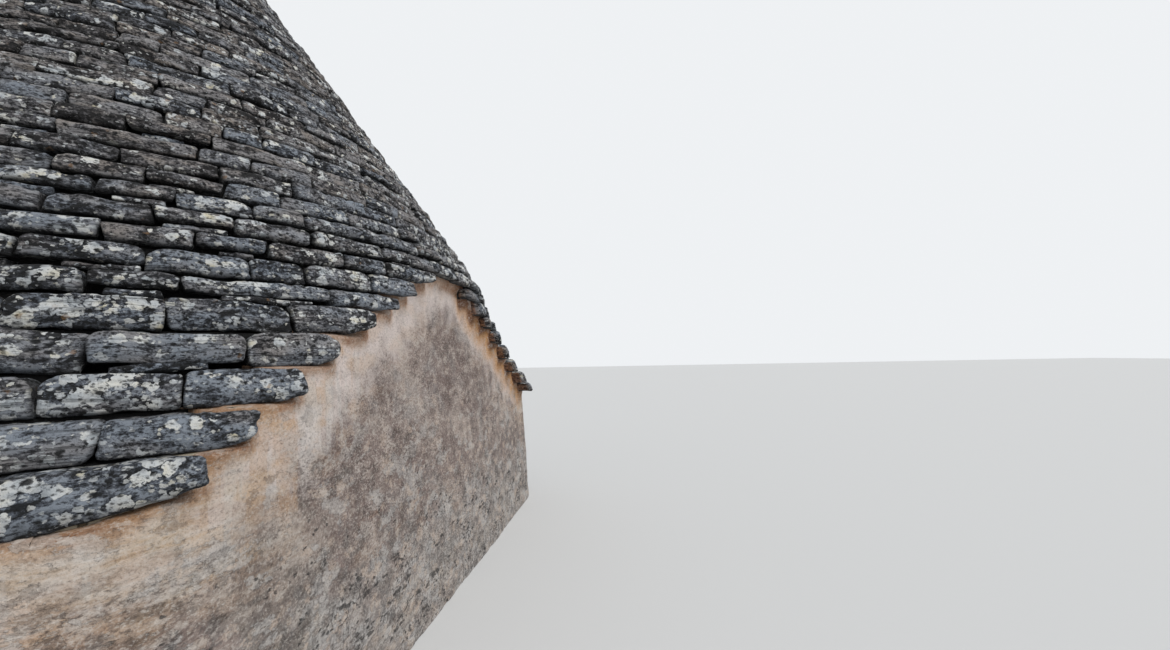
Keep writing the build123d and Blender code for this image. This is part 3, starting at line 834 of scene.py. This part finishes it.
def roof_stone_material():
    """Grey limestone, mottled nearly to black, with bedding cracks, pits and blots of pale lichen, and
    painted shade in the joints, at the edges and low on each face.
    """
    p = Painter(bpy.data.materials.new("roof_stone"), "stone_place")
    tone, lichen, brown, light_left_by_shade_and_dirt = p.look("stone_look")
    weather = p.noise((0.13, 0.07, 0.1), (0, 0, 0), 6, 0.6)
    mottle = p.noise((0.055, 0.030, 0.045), (4, 7, 2), 8, 0.75)
    grain = p.noise(0.012, (3, 1, 2), 5, 0.70)
    streaks = p.noise((0.24, 0.009, 0.16), (7, 3, 1), 4, 0.55)
    broken = p.noise((0.021, 0.014, 0.018), (8, 8, 3), 6, 0.72)
    mixed = mottle + 0.18 * (tone - 0.5) + 0.55 * (weather - 0.5) + 0.75 * (broken - 0.5)

    hue = p.noise((0.26, 0.16, 0.2), (1, 9, 4), 3)
    bluer = p.step(hue, 0.30, 0.56) * p.step(brown, 0.85, 0.25)
    earthy = 0.8 * brown * p.patches(0.42, 0.62, (0.12, 0.07, 0.1), (5, 5, 8), 5)
    dark = p.mix(bluer, srgb(28, 26, 26), srgb(30, 32, 35))
    middle = p.mix(earthy, p.mix(bluer, srgb(88, 86, 88), srgb(82, 87, 96)), srgb(98, 90, 85))
    light = p.mix(earthy, p.mix(bluer, srgb(152, 149, 149), srgb(145, 153, 163)), srgb(154, 143, 132))
    p.colour = p.mix(p.step(mixed, 0.418, 0.472), dark, middle)
    p.colour = p.mix(p.step(mixed, 0.492, 0.570), p.colour, light)
    p.dim(p.step(grain, 0.52, 0.64), 0.52)

    cluster = p.noise((0.20, 0.12, 0.15), (2, 8, 6), 3)
    spread = 1.5 * (cluster - 0.5) + 0.42 * lichen
    blot_away, blot_own = p.spots((0.052, 0.045, 0.05), (9, 2, 5), 0.85)
    crust = p.step(blot_own * (spread + 0.27) - blot_away, -0.012, 0.028)
    fleck_away, fleck_own = p.spots((0.021, 0.016, 0.02), (9, 4, 3), 0.8)
    fleck = p.step(fleck_own * (0.80 * spread + 0.24) - fleck_away, -0.02, 0.06)
    worn = p.patches(0.66, 0.56, 0.010, (6, 6, 6), 4, 0.6)
    pale = p.math("MAXIMUM", crust, 0.75 * fleck) * (0.45 * worn + 0.55)
    crust_colour = p.ramp(p.noise((0.06, 0.04, 0.05), (8, 1, 5)), (0.34, (184, 190, 194)),
                          (0.46, (216, 219, 220)), (0.60, (232, 231, 224)), (0.72, (222, 214, 188)))
    p.colour = p.mix(pale, p.colour, crust_colour)
    p.tint(0.55 * p.marks(0.034, (1, 1, 7), 0.8, (0.34, 0.20), (0.978, 0.984)), 148, 112, 74)

    crack = p.step(streaks, 0.570, 0.62) * p.step(hue, 0.66, 0.45)
    p.dim(crack, 0.48)
    speck = p.marks((0.014, 0.010, 0.012), (2, 5, 9), 0.9, (0.48, 0.20), (0.40, 0.48))
    p.dim(speck, 0.75)
    pit = p.marks((0.030, 0.022, 0.02), (3, 7, 9), 0.6, (0.46, 0.22), (0.76, 0.80))
    p.tint(0.95 * pit, 9, 9, 10)
    stain_colour = p.mix(p.step(mottle, 0.42, 0.58), srgb(70, 46, 32), srgb(150, 104, 70))
    p.colour = p.mix(0.80 * p.step(brown, 1.05, 1.8), p.colour, stain_colour)
    # Painted shade: darker deep in the joints, at the rounded edges and low on each face, where little light
    # is left
    p.dim(1 - light_left_by_shade_and_dirt, 0.93)

    relief = 0.40 * grain + 0.70 * mottle - 0.26 * crack - 0.45 * (pit + 0.4 * speck) + 0.12 * pale
    return p.surface(0.93, relief, 0.024)


def lime_plaster_material():
    """Old lime coat: peach and rust under the roof, with painted shade in dark brown right under the stones
    and at the arch's top, mauve-grey and flecked below, banded near the corners, peeling and pitted at the
    foot."""
    p = Painter(bpy.data.materials.new("lime_plaster"), "wall_place")
    gap, flaked, run, far_half = p.look("wall_look")
    height = p.value("SeparateXYZ", {"Vector": p.place}, "Y")
    clouds = p.noise((0.42, 0.50), (0, 0), 5, 0.55)
    waves = 0.9 * (clouds - 0.5)
    blotch = p.noise((0.11, 0.15), (4, 2), 5, 0.6)
    near_corner = p.step(run + waves, 1.45, 2.05)
    fleck = p.mix_value(near_corner, p.noise((0.015, 0.011), (6, 3), 5, 0.72),
                        p.noise((0.024, 0.013), (6, 7), 4, 0.68))
    mottle = p.mix_value(near_corner, p.noise((0.075, 0.058), (1, 6), 7, 0.72),
                         p.noise((0.085, 0.040), (1, 2), 6, 0.68))
    grit = p.noise(0.0045, (3, 3), 3, 0.65)
    crumbs = p.noise(0.011, (7, 1, 3), 5, 0.75)

    p.colour = p.ramp(0.5 * clouds + 0.5 * blotch, (0.40, (110, 94, 88)), (0.47, (130, 114, 107)),
                      (0.53, (150, 135, 127)), (0.60, (173, 158, 148)))
    cool = p.patches(0.53, 0.64, (0.20, 0.24), (6, 0), 5)
    p.tint(0.55 * cool, 146, 140, 137)
    mauve = p.patches(0.49, 0.58, (0.34, 0.26), (2, 2), 6, 0.6)
    p.tint(0.50 * mauve, 118, 99, 94)

    edge_wave = 0.36 * (p.noise((0.14, 0.20), (2, 5)) - 0.5)
    edge = gap + edge_wave
    pink = p.step(edge, 0.36, 0.10)
    p.tint(0.95 * pink, 218, 204, 197)
    sand = p.patches(0.46, 0.62, (0.16, 0.10), (7, 7)) * p.step(edge, 0.50, 0.10)
    p.tint(sand * (0.22 + 0.40 * p.step(run, 0.8, 1.5)), 194, 160, 124)
    runs = p.noise((0.085, 0.95), (2, 4), 5)
    washed = p.step(edge, 0.50, 0.16) * p.step(run, 0.90, 1.30) * (1 - far_half)
    p.tint(0.50 * washed * p.step(runs, 0.53, 0.59), 206, 200, 194)
    p.tint(0.36 * washed * p.step(runs, 0.47, 0.42), 188, 148, 108)
    banded = p.ramp(p.noise((0.42, 0.095), (3, 8), 6, 0.60), (0.36, (124, 105, 88)),
                    (0.43, (164, 134, 100)), (0.50, (180, 162, 138)), (0.57, (198, 192, 182)),
                    (0.65, (142, 138, 132)))
    p.colour = p.mix(0.62 * near_corner * p.step(height + waves, 0.74, 1.05), p.colour, banded)

    wobbled_gap = gap + 0.30 * edge_wave
    under = p.step(wobbled_gap, 0.085, 0.008)
    far_side = far_half * p.step(run, 0.04, 0.20) * p.step(run, 1.95, 1.65)
    # Rust with painted shade: the plaster just under the stones near the arch's top on the far side
    rust_and_shade_at_apex = far_side * p.step(run, 0.62, 0.40) * p.step(wobbled_gap, 0.12, 0.04)
    golden = far_side * p.step(wobbled_gap, 0.25, 0.04)
    rusty = under * p.patches(0.46, 0.62, (0.11, 0.09), (0, 8))
    p.tint(0.60 * under, 192, 146, 100)
    p.tint(0.88 * golden, 194, 140, 80)
    p.tint(0.60 * rusty, 150, 96, 52)
    # Dark brown right along the stones' edge and at the arch's top on the far side: rust with painted shade,
    # as under the overhanging stones
    p.tint(p.math("MAXIMUM", p.step(wobbled_gap, 0.060, 0.0) * (0.45 + 0.4 * golden), 0.90 * rust_and_shade_at_apex), 94, 56, 34)

    low = height + 0.8 * (blotch - 0.5)
    foot = p.step(low, 0.80, 0.35)
    smear = p.patches(0.56, 0.70, (0.30, 0.12), (5, 3)) * p.step(height, 1.15, 0.85)
    p.tint(0.45 * smear * (1 - 0.8 * far_half), 140, 104, 78)
    remains = p.noise((0.19, 0.13), (4, 9), 8, 0.66)
    foot_tone = p.ramp(remains, (0.40, (138, 130, 125)), (0.49, (166, 161, 156)), (0.55, (200, 197, 194)))
    p.colour = p.mix(0.66 * foot, p.colour, foot_tone)
    dank = p.step(clouds, 0.47, 0.56) * p.step(height + waves, 1.15, 0.55) * p.step(run, 0.9, 1.5)
    p.tint(0.62 * dank * (1 - far_half), 100, 95, 87)
    remains = p.step(remains, 0.545, 0.565) * p.step(low, 1.75, 0.75)
    p.tint(0.62 * remains, 184, 180, 176)
    patches = p.noise((0.12, 0.10), (9, 9), 7, 0.66)
    lower = p.step(low, 1.9, 0.9)
    p.tint(0.60 * lower * p.step(patches, 0.575, 0.595), 196, 176, 160)
    worn_through = lower * p.step(patches, 0.425, 0.395)
    p.tint(0.50 * worn_through, 104, 94, 88)
    chip_away, chip_own = p.spots((0.055, 0.062), (5, 9), 0.8)
    peeling = p.step(low + waves, 1.05, 0.55)
    chip = peeling * p.step(chip_away, 0.40, 0.34) * p.step(chip_own, 0.50, 0.52)
    p.tint(0.50 * chip, 190, 172, 156)
    p.tint(0.60 * peeling * p.step(chip_away, 0.44, 0.60) * p.step(chip_own, 0.42, 0.36), 108, 104, 102)
    p.tint(0.45 * flaked, 148, 141, 134)

    calm = p.patches(0.40, 0.60, (0.24, 0.20), (3, 5))
    flecked = (1 - 0.65 * pink) * (1 - 0.55 * calm)
    p.dim(p.patches(0.52, 0.70, (0.045, 0.42), (9, 1), 4, 0.55), 0.10)
    p.tint(0.50 * p.step(mottle, 0.475, 0.38), 196, 186, 176)
    p.dim(flecked * p.step(mottle, 0.50, 0.60), 0.44)
    p.tint(p.step(fleck, 0.46, 0.36) * (0.15 + 0.35 * flecked), 206, 198, 190)
    p.tint(0.78 * flecked * p.step(fleck, 0.52, 0.62), 84, 72, 66)
    p.dim(p.step(grit, 0.54, 0.70), 0.32)
    p.dim(p.step(crumbs, 0.53, 0.63), 0.34)
    p.tint(0.38 * p.step(crumbs, 0.46, 0.38), 212, 205, 196)

    clustered = p.patches(0.46, 0.60, (0.22, 0.14), (8, 5))
    pit_away, pit_own = p.spots((0.028, 0.021), (8, 2), 0.9)
    pit_share = 0.72 * clustered * p.step(low, 1.05, 0.30) + 0.015
    pit = p.step(pit_away, 0.44, 0.20) * p.step(pit_own + pit_share, 1.0, 1.03)
    gouge_away, gouge_own = p.spots((0.085, 0.036), (2, 9), 1.0)
    gouge_share = 0.60 * clustered * foot
    gouge = p.step(gouge_away, 0.40, 0.20) * p.step(gouge_own + gouge_share, 1.0, 1.03)
    pit = p.math("MAXIMUM", pit, gouge)
    p.tint(0.80 * pit, 42, 40, 39)
    line = p.math("ABSOLUTE", p.noise((0.26, 0.20), (1, 1)) - 0.5)
    line = p.step(line, 0.0065, 0.0015) * foot * clustered
    p.tint(0.80 * line, 48, 44, 42)

    relief = -0.30 * fleck - 0.25 * grit - 0.45 * mottle + 0.25 * (chip + remains - worn_through)
    relief = relief - 0.6 * p.math("MAXIMUM", pit, line) - 0.3 * flaked
    return p.surface(0.93, relief, 0.007)


def dressed_stone_material():
    """Pale hewn limestone with grey weathering, pits and a little lichen."""
    p = Painter(bpy.data.materials.new("dressed_stone"), "stone_place")
    tone, lichen, brown, _ = p.look("stone_look")
    weather = p.noise(0.16, (0, 0, 0), 6, 0.6)
    grain = p.noise(0.006, (2, 2, 2), 4, 0.6)
    tooled = p.noise((0.012, 0.045, 0.02), (5, 1, 1), 3)
    p.colour = p.ramp(weather + 0.3 * (tone - 0.5), (0.32, (118, 110, 98)), (0.46, (158, 149, 134)),
                      (0.60, (182, 174, 158)), (0.75, (196, 190, 176)))
    p.tint(0.55 * p.patches(0.50, 0.66, (0.22, 0.3, 0.2), (8, 3, 2), 5), 112, 112, 110)
    p.tint(0.40 * brown * p.patches(0.52, 0.70, 0.10, (1, 4, 9)), 172, 138, 98)
    p.dim(p.step(grain, 0.54, 0.70), 0.28)
    flecks = p.noise(0.035, (3, 9, 1), 7, 0.72)
    p.dim(p.step(flecks, 0.52, 0.62), 0.34)
    p.tint(0.42 * p.step(flecks, 0.45, 0.37), 204, 201, 190)
    crust = p.patches(0.575, 0.600, 0.085, (6, 1, 8), 8, 0.68)
    p.tint(0.75 * crust * (0.25 + lichen), 196, 198, 190)
    soot = p.patches(0.56, 0.64, (0.13, 0.07, 0.1), (4, 8, 8), 7, 0.65)
    p.tint(0.55 * soot, 70, 67, 62)
    pit = p.marks((0.022, 0.015, 0.018), (7, 2, 5), 1.2, (0.34, 0.14), (0.88, 0.92))
    p.tint(0.55 * pit, 66, 60, 52)
    return p.surface(0.90, 0.4 * grain + 0.5 * tooled + 0.5 * weather - 0.5 * pit, 0.005)


def masonry_material(name, round_plan, stone_long, stone_high, colours, joint_colour):
    """Courses of rough stones on a flat wall, or round the vault when round_plan is set."""
    p = Painter(bpy.data.materials.new(name))
    p.place = p.node("TexCoord").outputs["Object"]
    x, y, z = (p.value("SeparateXYZ", {"Vector": p.place}, axis) for axis in "XYZ")
    if round_plan:
        sideways = 1.1 * p.math("ARCTAN2", y, x)
    else:
        normal = p.node("NewGeometry").outputs["Normal"]
        facing = p.value("SeparateXYZ", {"Vector": normal}, "X")
        faces_x = p.math("GREATER_THAN", p.math("ABSOLUTE", facing), 0.7)
        sideways = y * faces_x + x * (1 - faces_x)
    wobble = p.node("TexNoise", {"Vector": p.place, "Scale": 5.0, "Detail": 3.0}).outputs["Color"]
    bent, raised = (p.value("SeparateXYZ", {"Vector": wobble}, axis) for axis in "XY")
    flat = p.node("CombineXYZ", {"X": sideways + 0.07 * bent, "Y": z + 0.035 * raised})
    brick = p.node("TexBrick", {
        "Vector": flat.outputs["Vector"], "Color1": (0, 0, 0, 1), "Color2": (1, 1, 1, 1),
        "Mortar": (0.5, 0.5, 0.5, 1), "Scale": 1.0, "Mortar Size": 0.007, "Mortar Smooth": 0.5, "Bias": 0.0,
        "Brick Width": stone_long, "Row Height": stone_high})
    joint = Value(p, brick.outputs["Fac"])
    weather = p.noise(0.12, (4, 4, 1), 6, 0.6)
    grain = p.noise(0.012, (1, 2, 3), 4, 0.6)
    own = p.first(brick.outputs["Color"])
    places = np.linspace(0.30, 0.72, len(colours)).tolist()
    p.colour = p.ramp(0.65 * weather + 0.35 * own, *zip(places, colours))
    p.dim(p.step(grain, 0.54, 0.70), 0.25)
    p.tint(joint, *joint_colour)
    return p.surface(0.93, 0.7 * weather + 0.25 * grain - 0.9 * joint, 0.020)


def paint_nodes(material, names):
    """Gives CAD nodes that stay in view a material."""
    for name in names:
        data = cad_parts[name].data
        data.materials.clear()
        data.materials.append(material)


# The stage

def set_camera():
    """Puts the camera where the photograph was taken."""
    ahead = Vector((-math.sin(YAW) * math.cos(PITCH), math.cos(YAW) * math.cos(PITCH), math.sin(PITCH)))
    level = Vector((math.cos(YAW), math.sin(YAW), 0))
    upward = level.cross(ahead)
    right = math.cos(ROLL) * level + math.sin(ROLL) * upward
    up = -math.sin(ROLL) * level + math.cos(ROLL) * upward
    data = bpy.data.cameras.new("camera")
    data.lens, data.sensor_width, data.sensor_fit = LENS_MM, SENSOR_MM, "HORIZONTAL"
    data.clip_start, data.clip_end = 0.05, 200
    camera = link_object("camera", data)
    camera.matrix_world = Matrix.Translation(EYE) @ Matrix((right, up, -ahead)).transposed().to_4x4()
    bpy.context.scene.camera = camera


def set_stage():
    """A plain pale floor, a pale sky and one wide soft lamp high in the east."""
    mesh = bpy.data.meshes.new("floor")
    reach = 60.0
    corners = [(-reach, -reach, 0), (reach, -reach, 0), (reach, reach, 0), (-reach, reach, 0)]
    mesh.from_pydata(corners, [], [(0, 1, 2, 3)])
    p = Painter(bpy.data.materials.new("floor"))
    shader = p.node("BsdfPrincipled", {"Base Color": (0.70, 0.70, 0.69, 1), "Roughness": 0.9})
    mesh.materials.append(p.finish("OutputMaterial", shader))
    floor = link_object("floor", mesh)
    floor.location.z = -0.002

    p = Painter(bpy.data.worlds.new("sky"))
    path = p.node("LightPath").outputs
    seen = p.math("MAXIMUM", path["Is Camera Ray"], path["Is Glossy Ray"])
    light = p.node("Background", {"Color": (0.93, 0.96, 1.0, 1), "Strength": 0.52})
    backdrop = p.node("Background", {"Color": (0.86, 0.88, 0.90, 1)})
    choose = p.node("MixShader", {0: seen, 1: light.outputs[0], 2: backdrop.outputs[0]})
    bpy.context.scene.world = p.finish("OutputWorld", choose)

    sun = bpy.data.lights.new("soft_sun", "SUN")
    sun.energy, sun.angle = 1.75, math.radians(45)
    link_object("soft_sun", sun).rotation_euler = (math.radians(40), 0, math.radians(65))
    bpy.context.scene.view_settings.view_transform = "Standard"


set_camera()
set_stage()

roof_stone = roof_stone_material()
lime_plaster = lime_plaster_material()
dressed_stone = dressed_stone_material()
rubble = masonry_material("rubble_stone", False, 0.30, 0.15,
                          [(112, 104, 90), (146, 136, 118), (170, 160, 140), (186, 178, 160)], (96, 84, 66))
vault_stone = masonry_material("vault_stone", True, 0.27, 0.096,
                               [(88, 82, 72), (124, 116, 102), (150, 141, 124), (168, 160, 144)],
                               (40, 36, 30))
floor_stone = masonry_material("floor_stone", False, 0.48, 0.36,
                               [(120, 114, 102), (146, 140, 126), (162, 156, 142), (174, 168, 156)],
                               (88, 80, 68))

for name, quarter in (("north_east_eaves", 0), ("north_west_eaves", 1), ("south_west_eaves", 2),
                      ("south_east_eaves", -1)):
    lay_corner(name, quarter, roof_stone)
for number in range(1, CONE_BANDS + 1):
    lay_cone_band(number, roof_stone)

for side, quarter in (("east", 0), ("north", 1), ("west", 2), ("south", -1)):
    spacing = PLAIN_SPACING if quarter else FINE_SPACING
    spread_plaster(side + "_plaster", quarter * math.pi / 2, spacing, lime_plaster)
build_doorway(dressed_stone)
build_top(roof_stone, dressed_stone)

paint_nodes(rubble, ["east_wall", "north_wall", "west_wall", "south_wall_left", "south_wall_right",
                     "south_gable"])
paint_nodes(vault_stone, [f"vault_courses_{band}" for band in range(1, 6)] + ["keystone", "vault_crown"])
paint_nodes(floor_stone, ["stone_floor"])
